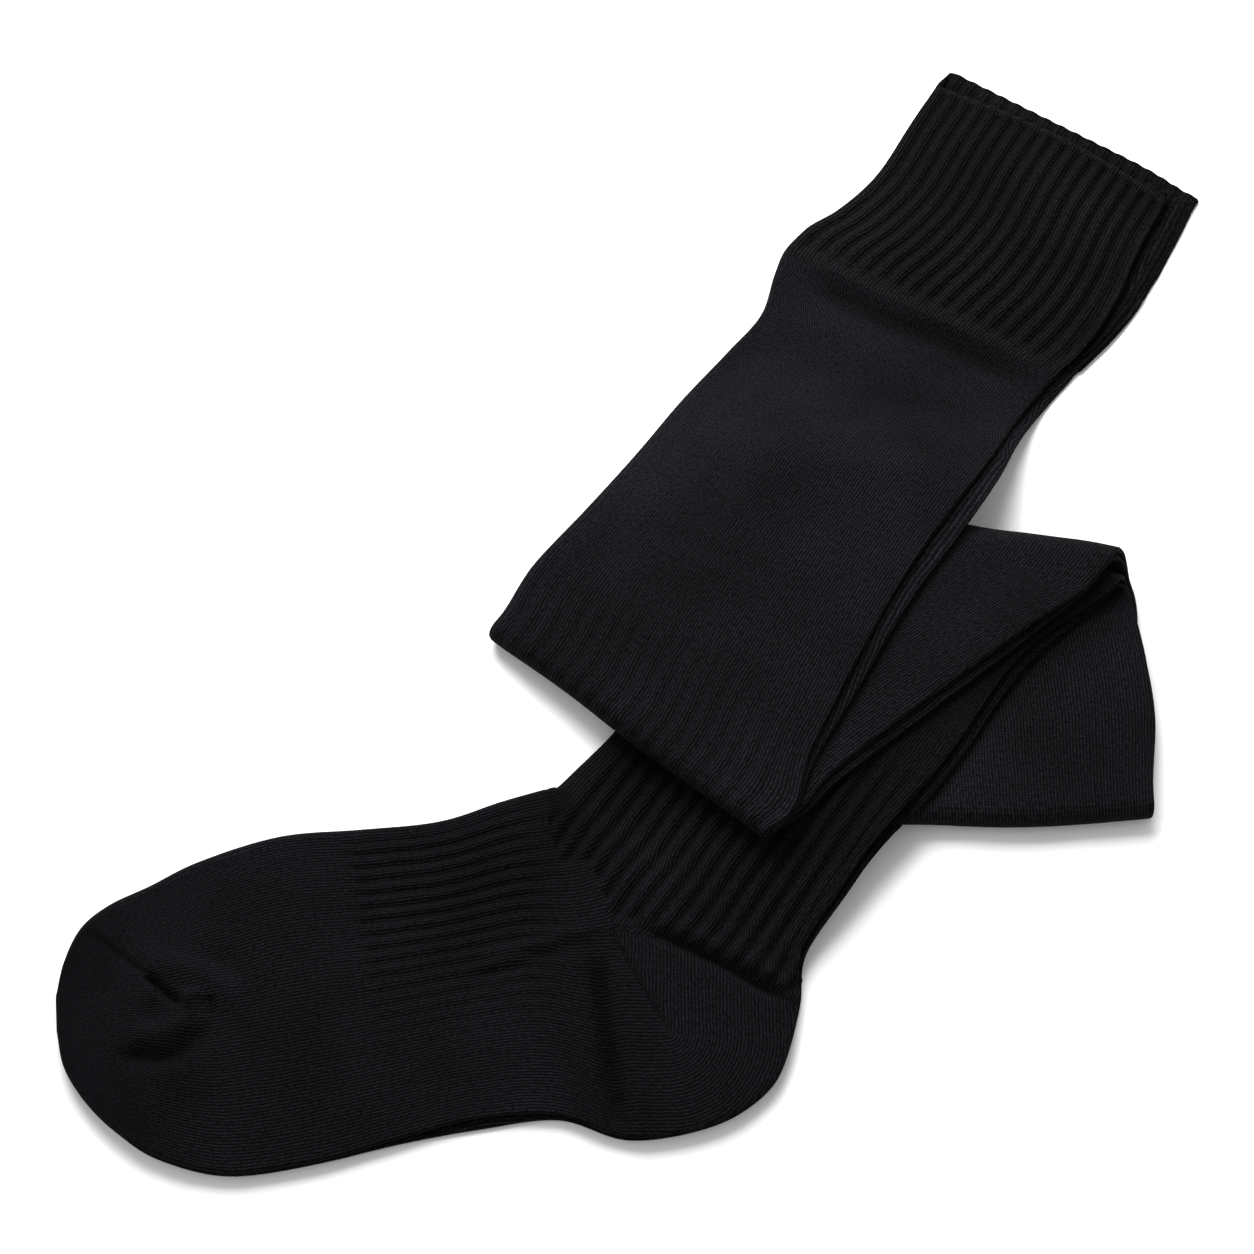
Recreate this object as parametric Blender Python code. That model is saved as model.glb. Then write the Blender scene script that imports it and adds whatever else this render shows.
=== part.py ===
"""Football sock lying folded on a table, made of six knitted zones.

The sock is first laid out flat, as a sheet: the foot on its side and one long straight leg.
Four folds then stack the leg in five layers, and the layers come down to the table where
nothing lies under them. Metres, +Z up, the table at z = 0, the cuff pointing along +Y.
"""
import math
from collections import namedtuple

import bpy
import numpy as np

# Flat widths and lengths of the knitted zones
foot_length = 0.225
foot_height = 0.105
ankle_width = 0.089
calf_width = 0.106
cuff_width = 0.088
cuff_length = 0.091
ankle_rib_length = 0.050

# The knit
wall = 0.0014
flat_thickness = 0.0044
layer_gap = 0.0009
zone_gap = 0.0003
nest_gap = 0.0006
rim_step = 0.0095
slit_opening = 0.0005
cuff_ribs = 17
ankle_ribs = 15
instep_ribs = 12
instep_share = 0.6
rib_depth = 0.0007

# How finely a wall is cut across, and the leg along
wall_points = 9
leg_step = 0.014

# How the leg is laid: lengths of its straight runs between folds
rise_run = 0.111
flap_run = 0.0885
strip_run = 0.109
top_run = 0.264

# How the leg is laid: directions, in degrees from +X
leg_heading = 90
foot_heading = 214
rim_slant = 12
cuff_slant = 15
drape_margin = 0.008
drape_length = 0.055

layer_pitch = flat_thickness + layer_gap
rise_level = 2.5 * layer_pitch

# Each fold turns the leg about a line on the table, at an angle in degrees. The side is the
# sheet's face that ends up inside, and steps is how many flats the fold's curl is made of.
folds = [
    {"name": "corner", "line": 19, "side": -1, "radius": 0.5 * layer_pitch, "steps": 6},
    {"name": "hem", "line": 40, "side": 1, "radius": 0.5 * layer_pitch, "steps": 6},
    {"name": "wrap", "line": 19, "side": 1, "radius": 1.5 * layer_pitch, "steps": 9},
    {"name": "front", "line": -6.5, "side": -1, "radius": 0.5 * layer_pitch, "steps": 6},
]

# The foot's outline, from the toe to the ankle: where each cross line starts on the instep and
# ends on the sole. Ahead is a share of foot_length, down a share of foot_height, both from the
# bend of the instep. Thick and puff are shares of flat_thickness, notch and lip of ankle_width.
FootLine = namedtuple("FootLine", "ahead down sole_ahead sole_down thick puff notch lip")
foot_lines = [FootLine(*row) for row in (
    (0.664, 0.66, 0.658, 0.78, 1.10, 0.00, 0.01, 0.00),
    (0.656, 0.56, 0.644, 0.88, 1.45, 0.05, 0.01, 0.00),
    (0.637, 0.46, 0.614, 0.97, 1.60, 0.30, 0.01, 0.00),
    (0.602, 0.39, 0.571, 1.05, 1.60, 0.55, 0.01, 0.00),
    (0.551, 0.33, 0.514, 1.12, 1.50, 0.70, 0.01, 0.00),
    (0.486, 0.25, 0.422, 1.16, 1.35, 0.60, 0.01, 0.00),
    (0.379, 0.17, 0.306, 1.12, 1.20, 0.40, 0.02, 0.00),
    (0.271, 0.14, 0.203, 1.055, 1.10, 0.25, 0.05, 0.01),
    (0.163, 0.11, 0.100, 0.995, 1.05, 0.20, 0.08, 0.03),
    (0.082, 0.05, -0.004, 0.985, 1.10, 0.25, 0.06, 0.01),
    (0.027, 0.015, -0.096, 1.05, 1.25, 0.40, 0.02, 0.00),
    (0.019, 0.013, -0.206, 1.01, 1.40, 0.60, 0.01, 0.00),
    (0.014, 0.009, -0.279, 0.915, 1.45, 0.70, 0.01, 0.00),
    (0.008, 0.006, -0.313, 0.80, 1.40, 0.60, 0.01, 0.00),
    (0.003, 0.002, -0.329, 0.655, 1.15, 0.20, 0.04, 0.01),
    (-0.020, -0.050, -0.333, 0.50, 1.00, 0.00, 0.08, 0.02),
)]
ankle_line = FootLine(-0.068, -0.158, -0.392, 0.324, 1.00, 0.00, 0.08, 0.02)
toe_end = 4
heel_start = 10
heel_end = 14

# The leg's sections, from the ankle to the rim. Along is a share of the whole leg; width a share
# of calf_width; slide, lip and notch are shares of calf_width too; puff is a share of
# flat_thickness. A positive lip shows the sheet's lower wall past the upper one.
LegSection = namedtuple("LegSection", "along width slide lip notch puff")
leg_sections = [LegSection(*row) for row in (
    (0.000, 0.840, 0.000, 0.02, 0.08, 0.00),
    (0.060, 0.855, 0.020, 0.03, 0.08, 0.00),
    (0.120, 0.860, 0.035, 0.03, 0.07, 0.00),
    (0.155, 0.960, 0.085, 0.00, 0.03, 0.00),
    (0.180, 0.970, 0.095, 0.00, 0.03, 0.00),
    (0.240, 0.955, 0.105, -0.01, 0.04, 0.00),
    (0.300, 0.940, 0.095, 0.00, 0.02, 0.00),
    (0.380, 0.950, 0.120, 0.01, 0.04, 0.00),
    (0.430, 0.990, 0.158, 0.00, 0.02, 0.00),
    (0.475, 0.990, 0.158, 0.00, 0.02, 0.00),
    (0.500, 0.975, 0.110, -0.02, 0.05, 0.00),
    (0.550, 0.990, 0.000, -0.03, 0.08, 0.00),
    (0.600, 1.020, -0.110, -0.02, 0.06, 0.00),
    (0.620, 1.035, -0.146, 0.00, 0.04, 0.00),
    (0.633, 1.035, -0.146, 0.00, 0.04, 0.00),
    (0.665, 1.025, -0.203, 0.02, 0.06, 0.05),
    (0.702, 0.970, -0.252, 0.04, 0.08, 0.10),
    (0.741, 0.915, -0.298, 0.05, 0.09, 0.15),
    (0.778, 0.891, -0.339, 0.06, 0.09, 0.20),
    (0.812, 0.864, -0.373, 0.05, 0.09, 0.30),
    (0.838, 0.840, -0.399, 0.04, 0.09, 0.65),
    (0.862, 0.886, -0.446, 0.04, 0.09, 0.15),
    (0.875, 0.914, -0.464, 0.04, 0.09, 0.20),
    (0.889, 0.925, -0.465, 0.04, 0.09, 0.60),
    (0.906, 0.890, -0.456, 0.05, 0.09, 0.90),
    (0.928, 0.850, -0.468, 0.07, 0.09, 1.05),
    (0.960, 0.825, -0.525, 0.09, 0.10, 1.15),
    (1.000, 0.830, -0.580, 0.09, 0.10, 1.20),
)]
ankle_taper = 0.12
cuff_taper_start = 0.84
cuff_taper = 0.07

# Small pushes that bring the edges to where they lie: a place on the sheet in millimetres, how far
# round it the push is felt, the push, and the layers that feel it, counted up from the table.
Nudge = namedtuple("Nudge", "x y reach push_x push_y lowest highest")
nudges = [Nudge(*row) for row in (
    (-116, -156, 45, -1.6, 2.3, 0.0, 5.0),
    (52, -41, 24, -1.8, -1.2, 0.0, 5.0),
    (47, 12, 22, -2.1, -0.2, 2.4, 2.6),
    (43, 18, 34, -3.3, 4.9, 0.0, 1.6),
    (7, 121, 30, 2.9, -4.3, 0.0, 4.0),
    (84, 109, 30, 2.1, 1.4, 0.0, 4.0),
    (9, 274, 14, -1.7, -2.0, 4.4, 5.0),
    (-90, 20, 18, -1.6, -1.1, 3.0, 5.0),
    (-95, -100, 24, -1.0, 1.4, 0.0, 5.0),
    (12, 134, 22, 1.9, 0.4, 4.4, 5.0),
)]


def unit(degrees):
    """A direction on the table."""
    angle = math.radians(degrees)
    return np.array([math.cos(angle), math.sin(angle)])


def leg_value(column, at):
    """A column of the leg's table at any share of its length, as a smooth curve through the rows."""
    x = np.array([row.along for row in leg_sections], float)
    y = np.array([getattr(row, column) for row in leg_sections], float)
    slope = np.gradient(y, x)
    steep = np.diff(y) / np.diff(x)
    slope[1:-1] = np.where(steep[:-1] * steep[1:] > 0, slope[1:-1], 0.0)
    at = np.clip(at, x[0], x[-1])
    i = int(np.clip(np.searchsorted(x, at) - 1, 0, len(x) - 2))
    span = x[i + 1] - x[i]
    t = (at - x[i]) / span
    a = (2 * t ** 3 - 3 * t ** 2 + 1) * y[i] + (t ** 3 - 2 * t ** 2 + t) * span * slope[i]
    b = (-2 * t ** 3 + 3 * t ** 2) * y[i + 1] + (t ** 3 - t ** 2) * span * slope[i + 1]
    return a + b


# The sheet: the leg starts at its origin and runs along leg_heading

def lay_folds():
    """Works out each fold's place and slant along the leg, so that the wrap nests round the corner."""
    heading = leg_heading
    across = heading - 90
    mirrored = 1
    headings = [heading]
    for fold in folds:
        fold["skew"] = mirrored * (fold["line"] - across)
        heading = 2 * fold["line"] - heading
        across = 2 * fold["line"] - across
        mirrored = -mirrored
        headings.append(heading)
    outward = unit(folds[0]["line"] + 90)
    back_run = (nest_gap - flap_run * unit(headings[1]) @ outward) / (unit(headings[2]) @ outward)
    along = 0.0
    for fold, run in zip(folds, [rise_run, flap_run, back_run, strip_run]):
        along += run
        fold["start"] = along
        along += math.pi * fold["radius"] / math.cos(math.radians(fold["skew"]))
        fold["end"] = along
    return along + top_run


leg_length = lay_folds()


def skew_at(along):
    """The slant of a cross line: each fold's own on the fold, and a blend between folds."""
    stops = [(0.0, 0.0)]
    for fold in folds:
        stops += [(fold["start"], fold["skew"]), (fold["end"], fold["skew"])]
    stops += [
        (folds[-1]["end"] + 0.25 * top_run, 0.5 * rim_slant),
        (leg_length - cuff_length, cuff_slant),
        (leg_length, rim_slant),
    ]
    return float(np.interp(along, [s[0] for s in stops], [s[1] for s in stops]))


def leg_station(along):
    """One cross line of the leg, with the shape of the tube there."""
    share = along / leg_length
    near_ankle = np.clip(1 - share / ankle_taper, 0.0, 1.0)
    near_cuff = np.clip((share - cuff_taper_start) / cuff_taper, 0.0, 1.0)
    full = calf_width * leg_value("width", share)
    full += near_ankle * (ankle_width - calf_width * leg_sections[0].width)
    full += near_cuff * (cuff_width - calf_width * leg_sections[-1].width)
    skew = skew_at(along)
    middle = unit(leg_heading) * along
    middle = middle + unit(leg_heading - 90) * calf_width * leg_value("slide", share)
    side = unit(leg_heading - 90 + skew)
    half = 0.5 * full / math.cos(math.radians(skew))
    return {
        "left": middle - side * half,
        "right": middle + side * half,
        "lip": calf_width * leg_value("lip", share),
        "notch": calf_width * leg_value("notch", share),
        "puff": flat_thickness * leg_value("puff", share),
        "thick": flat_thickness,
    }


def foot_station(row):
    """One cross line of the foot, placed so that the ankle's row falls on the leg's first line."""
    ahead = unit(foot_heading) * foot_length
    down = unit(foot_heading + 90) * foot_height
    ankle = 0.5 * (ankle_line.ahead + ankle_line.sole_ahead) * ahead
    ankle = ankle + 0.5 * (ankle_line.down + ankle_line.sole_down) * down
    return {
        "left": row.ahead * ahead + row.down * down - ankle,
        "right": row.sole_ahead * ahead + row.sole_down * down - ankle,
        "thick": flat_thickness * row.thick,
        "puff": flat_thickness * row.puff,
        "notch": ankle_width * row.notch,
        "lip": ankle_width * row.lip,
    }


def shifted(station, distance):
    """The same cross line moved on along the sock, to leave a gap between two zones."""
    side = station["right"] - station["left"]
    onward = np.array([-side[1], side[0]]) / np.linalg.norm(side) * distance
    return {**station, "left": station["left"] + onward, "right": station["right"] + onward}


# Folding the sheet

def fold_frames():
    """Each fold's line on the sheet: a point, the direction beyond it, its radius and side."""
    frames = []
    for fold in folds:
        station = leg_station(fold["start"])
        side = unit(leg_heading - 90 + fold["skew"])
        beyond = np.array([-side[1], side[0]])
        frames.append((0.5 * (station["left"] + station["right"]), beyond, fold["radius"], fold["side"]))
    return frames


def folded(points, heights):
    """Sheet points at heights off the sheet's middle, moved to the ideal flat stack."""
    flat = points.copy()
    place = points.copy()
    level = heights.copy()
    for point, beyond, radius, side in reversed(fold_frames()):
        u = (flat - point) @ beyond
        reach = (place - point) @ beyond
        angle = u / radius
        bend = radius - side * level
        curl_reach = bend * np.sin(angle)
        curl_level = side * (radius - bend * np.cos(angle))
        over = u >= math.pi * radius
        on = (u > 0) & ~over
        new_reach = np.where(over, math.pi * radius - reach, np.where(on, curl_reach, reach))
        new_level = np.where(over, 2 * side * radius - level, np.where(on, curl_level, level))
        place = place + np.outer(new_reach - reach, beyond)
        level = new_level
    return place, level


def ease(t):
    """Zero to one with a soft start and end."""
    t = np.clip(t, 0.0, 1.0)
    return t * t * (3 - 2 * t)


def distance_outside(points, outline):
    """How far each point lies outside a closed outline on the table."""
    a = outline
    b = np.roll(outline, -1, axis=0)
    edge = b - a
    to_point = points[:, None, :] - a[None, :, :]
    t = np.clip((to_point * edge).sum(-1) / ((edge * edge).sum(-1) + 1e-12), 0, 1)
    nearest = np.linalg.norm(to_point - t[..., None] * edge, axis=-1).min(axis=1)
    crosses = (a[None, :, 1] > points[:, None, 1]) != (b[None, :, 1] > points[:, None, 1])
    slope = (b - a)[None, :, 0] / np.where(np.abs(edge[None, :, 1]) < 1e-12, 1e-12, edge[None, :, 1])
    at = a[None, :, 0] + (points[:, None, 1] - a[None, :, 1]) * slope
    inside = (crosses & (points[:, None, 0] < at)).sum(axis=1) % 2 == 1
    return np.where(inside, 0.0, nearest)


def layer_outline(stations):
    """The plan outline of one straight layer of the stack."""
    left = np.array([s["left"] for s in stations])
    right = np.array([s["right"] for s in stations])
    ring = np.concatenate([left, right[::-1]])
    return folded(ring, np.zeros(len(ring)))[0]


def stack_outlines():
    """The four layers that something may lie on, from the lowest up."""
    corner, hem, wrap, front = folds
    foot = [foot_station(row) for row in foot_lines]
    rise = [leg_station(a) for a in np.linspace(0, corner["start"], 4)]
    return [
        layer_outline([leg_station(a) for a in np.linspace(hem["end"], wrap["start"], 4)]),
        layer_outline([leg_station(a) for a in np.linspace(corner["end"], hem["start"], 4)]),
        layer_outline(foot + rise),
        layer_outline([leg_station(a) for a in np.linspace(wrap["end"], front["start"], 6)]),
    ]


outlines = stack_outlines()


def nudged(places, slots):
    """How far each point of the stack is pushed along the table."""
    moved = np.zeros_like(places)
    for nudge in nudges:
        away = np.linalg.norm(1000 * places - (nudge.x, nudge.y), axis=1)
        felt = np.exp(-(away / nudge.reach) ** 2)
        felt = felt * ease((slots - nudge.lowest) / 0.4 + 1) * ease((nudge.highest - slots) / 0.4 + 1)
        moved += felt[:, None] * np.array([nudge.push_x, nudge.push_y]) * 0.001
    return moved


def draped(points, heights):
    """Sheet points on the table: the stack's layers come down wherever there is none below."""
    place, level = folded(points, np.zeros(len(points)))
    skin, skin_level = folded(points, heights)
    slots = (level + rise_level) / layer_pitch
    fall = np.zeros(len(points))
    for number, outline in enumerate(outlines):
        cover = 1 - ease((distance_outside(place, outline) - drape_margin) / drape_length)
        fall += layer_pitch * (1 - cover) * np.clip(slots - number, 0.0, 1.0)
    skin = skin + nudged(skin, slots)
    return np.column_stack([skin, skin_level + rise_level - fall - 0.5 * layer_gap])


# The tube's cross section, as offsets across and up, with the lower wall flat at zero

def outer_section(station, half, ribs):
    """The outside of the flattened tube: a round left side, and two lips with a slit on the right.

    Each point is its place across, its height and its mark, which runs from 0 round to 1.
    """
    thick = min(station["thick"], 1.6 * half)
    middle = 0.5 * thick
    lobe = 0.25 * thick
    diagonal = math.sqrt(0.5)
    notch = min(station["notch"], 0.5 * half)
    upper_tip = half - lobe + max(-station["lip"], 0.0)
    lower_tip = half - lobe + max(station["lip"], 0.0)
    start = -half + middle
    points = [(-half, middle, 0.0), (start - diagonal * middle, middle + diagonal * middle, 0.0)]
    for place in ribs["places"]:
        swell = station["puff"] * (1 - (2 * place - 1) ** 2)
        across = start + place * (half - lobe - start)
        points.append((across, thick + swell + ribs["height"](place), 0.5 * place))
    for turn in (diagonal, 0.0, -diagonal):
        reach = lobe * math.sqrt(1 - turn * turn)
        points.append((upper_tip + reach, thick - lobe + lobe * turn, 0.5))
    points.append((upper_tip, middle + 0.5 * slit_opening, 0.5))
    points.append((half - notch, middle, 0.5))
    points.append((lower_tip, middle - 0.5 * slit_opening, 0.5))
    for turn in (diagonal, 0.0, -diagonal):
        reach = lobe * math.sqrt(1 - turn * turn)
        points.append((lower_tip + reach, lobe + lobe * turn, 0.5))
    for place in np.linspace(1, 0, wall_points):
        points.append((start + place * (lower_tip - start), 0.0, 1 - 0.5 * place))
    points.append((start - diagonal * middle, middle - diagonal * middle, 1.0))
    return points


def inner_section(station, half):
    """The inside of the tube, one wall in from the outside."""
    thick = min(station["thick"], 1.6 * half)
    middle = 0.5 * thick
    left = -half + wall
    right = half - min(station["notch"], 0.5 * half) - wall
    edge = 0.5 / (wall_points - 1)
    points = [(left, middle, 0.0)]
    for place in np.linspace(edge, 1 - edge, wall_points):
        swell = station["puff"] * (1 - (2 * place - 1) ** 2)
        points.append((left + place * (right - left), thick - wall + swell, 0.5 * place))
    points.append((right, middle, 0.5))
    for place in np.linspace(1 - edge, edge, wall_points):
        points.append((left + place * (right - left), wall, 1 - 0.5 * place))
    return points


def plain_ribs():
    """A smooth upper wall."""
    return {"places": np.linspace(0, 1, wall_points), "height": lambda place: 0.0}


def full_ribs(count):
    """Ribs that run along the sock, on the whole of the upper wall."""
    return {
        "places": np.linspace(0, 1, 3 * count + 1),
        "height": lambda place: -rib_depth * math.sin(math.pi * count * place) ** 2,
    }


def half_ribs(strength):
    """Ribs on the instep side of the foot, which fade toward the sole."""
    ribbed = np.linspace(0, instep_share, 3 * instep_ribs + 1)
    bare = np.linspace(instep_share, 1, 4)[1:]

    def height(place):
        fade = np.clip(2 * (instep_share - place) / instep_share, 0, 1)
        return -rib_depth * strength * fade * math.sin(math.pi * instep_ribs * place / instep_share) ** 2

    return {"places": np.concatenate([ribbed, bare]), "height": height}


def ring(station, section):
    """A section's points on the sheet, as places and heights off the sheet's middle."""
    side = station["right"] - station["left"]
    half = 0.5 * np.linalg.norm(side)
    side = side / (2 * half)
    onward = np.array([-side[1], side[0]])
    middle = 0.5 * (station["left"] + station["right"])
    set_back = station.get("set_back", 0.0)
    points = []
    heights = []
    for across, up, _ in section:
        back = set_back * ease(up / station["thick"])
        points.append(middle + side * across - onward * back)
        heights.append(up - 0.5 * flat_thickness)
    return draped(np.array(points), np.array(heights))


# Meshes

def zip_rings(first, first_marks, second, second_marks):
    """Triangles between two closed rings of different counts, paired by their marks."""
    faces = []
    i = 0
    j = 0
    marks_i = list(first_marks) + [2.0]
    marks_j = list(second_marks) + [2.0]
    while i < len(first) or j < len(second):
        step_first = j >= len(second) or (i < len(first) and marks_i[i + 1] <= marks_j[j + 1])
        a = first[i % len(first)]
        b = second[j % len(second)]
        if step_first:
            faces.append((a, first[(i + 1) % len(first)], b))
            i += 1
        else:
            faces.append((a, second[(j + 1) % len(second)], b))
            j += 1
    return faces


def tube(name, stations, ribs, material, closed_start=False):
    """One knitted zone: a hollow tube through its stations, open at both ends or closed at its start."""
    outer = []
    inner = []
    vertices = []
    marks = [None, None]
    for number, station in enumerate(stations):
        half = 0.5 * np.linalg.norm(station["right"] - station["left"])
        section = outer_section(station, half, ribs[number])
        marks[0] = [point[2] for point in section]
        outer.append(range(len(vertices), len(vertices) + len(section)))
        vertices.extend(ring(station, section))
    hollow = stations[1:] if closed_start else stations
    for station in hollow:
        half = 0.5 * np.linalg.norm(station["right"] - station["left"])
        section = inner_section(station, half)
        marks[1] = [point[2] for point in section]
        inner.append(range(len(vertices), len(vertices) + len(section)))
        vertices.extend(ring(station, section))
    faces = []
    for rings, flip in ((outer, False), (inner, True)):
        for a, b in zip(rings, rings[1:]):
            for k in range(len(a)):
                n = (k + 1) % len(a)
                face = (a[n], b[n], b[k], a[k])
                faces.append(face[::-1] if flip else face)
    if closed_start:
        faces.append(tuple(outer[0])[::-1])
        faces.append(tuple(inner[0]))
    else:
        faces += [face[::-1] for face in zip_rings(outer[0], marks[0], inner[0], marks[1])]
    faces += zip_rings(outer[-1], marks[0], inner[-1], marks[1])
    mesh = bpy.data.meshes.new(name)
    mesh.from_pydata([tuple(v) for v in vertices], [], faces)
    mesh.materials.append(material)
    mesh.shade_smooth()
    thing = bpy.data.objects.new(name, mesh)
    bpy.context.scene.collection.objects.link(thing)
    return thing


def knit(name, colour):
    """A matt black yarn."""
    material = bpy.data.materials.new(name)
    material.use_nodes = True
    shader = material.node_tree.nodes["Principled BSDF"]
    shader.inputs["Base Color"].default_value = (*colour, 1.0)
    shader.inputs["Roughness"].default_value = 0.85
    shader.inputs["Metallic"].default_value = 0.0
    return material


# The zones

def foot_zone(first, last, start_gap, end_gap):
    """The foot's cross lines from one row to another, with half a gap at either end."""
    stations = [foot_station(row) for row in foot_lines[first:last + 1]]
    stations[0] = shifted(stations[0], start_gap)
    stations[-1] = shifted(stations[-1], -end_gap)
    return stations


def leg_places(start, end):
    """Places along the leg between two others: even on the straight, close together on a fold."""
    fold_steps = {fold["start"]: fold["steps"] for fold in folds}
    stops = [start]
    for fold in folds:
        if start < fold["start"] < end:
            stops += [fold["start"], fold["end"]]
    stops.append(end)
    places = []
    for a, b in zip(stops, stops[1:]):
        count = fold_steps[a] if a in fold_steps else max(1, round((b - a) / leg_step))
        places += list(np.linspace(a, b, count + 1)[:-1])
    return places + [end]


def build():
    """Makes the six zones and sets the sock down about the origin."""
    half_gap = 0.5 * zone_gap
    cuff_start = leg_length - cuff_length
    plain = plain_ribs()
    toe = foot_zone(0, toe_end, 0.0, half_gap)
    foot = foot_zone(toe_end, heel_start, half_gap, half_gap)
    heel = foot_zone(heel_start, heel_end, half_gap, half_gap)
    ankle = foot_zone(heel_end, len(foot_lines) - 1, half_gap, 0.0)
    ankle += [leg_station(a) for a in np.linspace(0, ankle_rib_length, 4)]
    ankle[-1] = shifted(ankle[-1], -half_gap)
    calf = [leg_station(a) for a in leg_places(ankle_rib_length, cuff_start)]
    calf[0] = shifted(calf[0], half_gap)
    calf[-1] = shifted(calf[-1], -half_gap)
    cuff = [leg_station(a) for a in np.linspace(cuff_start, leg_length, 6)]
    cuff[0] = shifted(cuff[0], half_gap)
    cuff[-1]["set_back"] = rim_step
    instep = [half_ribs(strength) for strength in np.linspace(0, 1, len(foot))]
    black = (0.012, 0.012, 0.014)
    blue_black = (0.017, 0.017, 0.022)
    things = [
        tube("toe", toe, [plain] * len(toe), knit("toe_knit", black), closed_start=True),
        tube("foot", foot, instep, knit("foot_knit", black)),
        tube("heel", heel, [plain] * len(heel), knit("heel_knit", blue_black)),
        tube("ankle", ankle, [full_ribs(ankle_ribs)] * len(ankle), knit("ankle_knit", black)),
        tube("calf", calf, [plain] * len(calf), knit("calf_knit", blue_black)),
        tube("cuff", cuff, [full_ribs(cuff_ribs)] * len(cuff), knit("cuff_knit", black)),
    ]
    corners = np.concatenate([[v.co[:] for v in thing.data.vertices] for thing in things])
    middle = 0.5 * (corners.min(axis=0) + corners.max(axis=0))
    for thing in things:
        thing.location = (-middle[0], -middle[1], -corners[:, 2].min())


for thing in list(bpy.data.objects):
    bpy.data.objects.remove(thing)
build()
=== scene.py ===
"""Football sock lying folded on a table: its knitted zones, their yarn, the light and the camera."""
import math
from collections import namedtuple

import bpy
import numpy as np
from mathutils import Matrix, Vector


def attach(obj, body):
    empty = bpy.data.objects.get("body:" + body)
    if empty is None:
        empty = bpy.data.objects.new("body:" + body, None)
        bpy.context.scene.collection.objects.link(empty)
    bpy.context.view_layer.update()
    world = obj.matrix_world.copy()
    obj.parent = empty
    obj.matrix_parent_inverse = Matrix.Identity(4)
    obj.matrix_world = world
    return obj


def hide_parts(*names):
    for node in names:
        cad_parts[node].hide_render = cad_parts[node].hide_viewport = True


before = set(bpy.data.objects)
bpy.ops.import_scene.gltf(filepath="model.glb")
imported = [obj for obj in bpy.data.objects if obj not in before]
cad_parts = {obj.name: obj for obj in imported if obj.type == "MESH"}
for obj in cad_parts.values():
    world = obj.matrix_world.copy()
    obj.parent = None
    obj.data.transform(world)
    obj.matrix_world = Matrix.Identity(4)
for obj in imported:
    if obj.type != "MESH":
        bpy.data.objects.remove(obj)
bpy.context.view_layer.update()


# How the sock lies
# The sock is one knitted tube, pressed flat. Its sheet is laid out with the foot on its side and
# one straight leg, folded four times into a stack, and let down to the table where nothing lies
# under it. The named sizes are those of the solids; lengths in metres, the cuff along +Y.

foot_length = 0.225
foot_height = 0.105
ankle_width = 0.089
calf_width = 0.106
cuff_width = 0.088
cuff_length = 0.091
ankle_rib_length = 0.050
flat_thickness = 0.0044
layer_gap = 0.0009
nest_gap = 0.0006
rim_step = 0.0095
rise_run = 0.111
flap_run = 0.0885
strip_run = 0.109
top_run = 0.264
leg_heading = 90
foot_heading = 214
rim_slant = 12
cuff_slant = 15
drape_margin = 0.008
drape_length = 0.055
layer_pitch = flat_thickness + layer_gap
rise_level = 2.5 * layer_pitch
sheet_origin = Vector((0.0163388, -0.0453676, 0.0))

folds = [
    {"name": "corner", "line": 19, "side": -1, "radius": 0.5 * layer_pitch},
    {"name": "hem", "line": 40, "side": 1, "radius": 0.5 * layer_pitch},
    {"name": "wrap", "line": 19, "side": 1, "radius": 1.5 * layer_pitch},
    {"name": "front", "line": -6.5, "side": -1, "radius": 0.5 * layer_pitch},
]

# The foot's cross lines from the toe to the ankle. Ahead is a share of foot_length, down a share
# of foot_height; thick and puff are shares of flat_thickness, notch and lip of ankle_width.
FootLine = namedtuple("FootLine", "ahead down sole_ahead sole_down thick puff notch lip")
foot_lines = [FootLine(*row) for row in (
    (0.664, 0.66, 0.658, 0.78, 1.10, 0.00, 0.01, 0.00),
    (0.656, 0.56, 0.644, 0.88, 1.45, 0.05, 0.01, 0.00),
    (0.637, 0.46, 0.614, 0.97, 1.60, 0.30, 0.01, 0.00),
    (0.602, 0.39, 0.571, 1.05, 1.60, 0.55, 0.01, 0.00),
    (0.551, 0.33, 0.514, 1.12, 1.50, 0.70, 0.01, 0.00),
    (0.486, 0.25, 0.422, 1.16, 1.35, 0.60, 0.01, 0.00),
    (0.379, 0.17, 0.306, 1.12, 1.20, 0.40, 0.02, 0.00),
    (0.271, 0.14, 0.203, 1.055, 1.10, 0.25, 0.05, 0.01),
    (0.163, 0.11, 0.100, 0.995, 1.05, 0.20, 0.08, 0.03),
    (0.082, 0.05, -0.004, 0.985, 1.10, 0.25, 0.06, 0.01),
    (0.027, 0.015, -0.096, 1.05, 1.25, 0.40, 0.02, 0.00),
    (0.019, 0.013, -0.206, 1.01, 1.40, 0.60, 0.01, 0.00),
    (0.014, 0.009, -0.279, 0.915, 1.45, 0.70, 0.01, 0.00),
    (0.008, 0.006, -0.313, 0.80, 1.40, 0.60, 0.01, 0.00),
    (0.003, 0.002, -0.329, 0.655, 1.15, 0.20, 0.04, 0.01),
    (-0.020, -0.050, -0.333, 0.50, 1.00, 0.00, 0.08, 0.02),
)]
ankle_line = FootLine(-0.068, -0.158, -0.392, 0.324, 1.00, 0.00, 0.08, 0.02)

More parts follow.
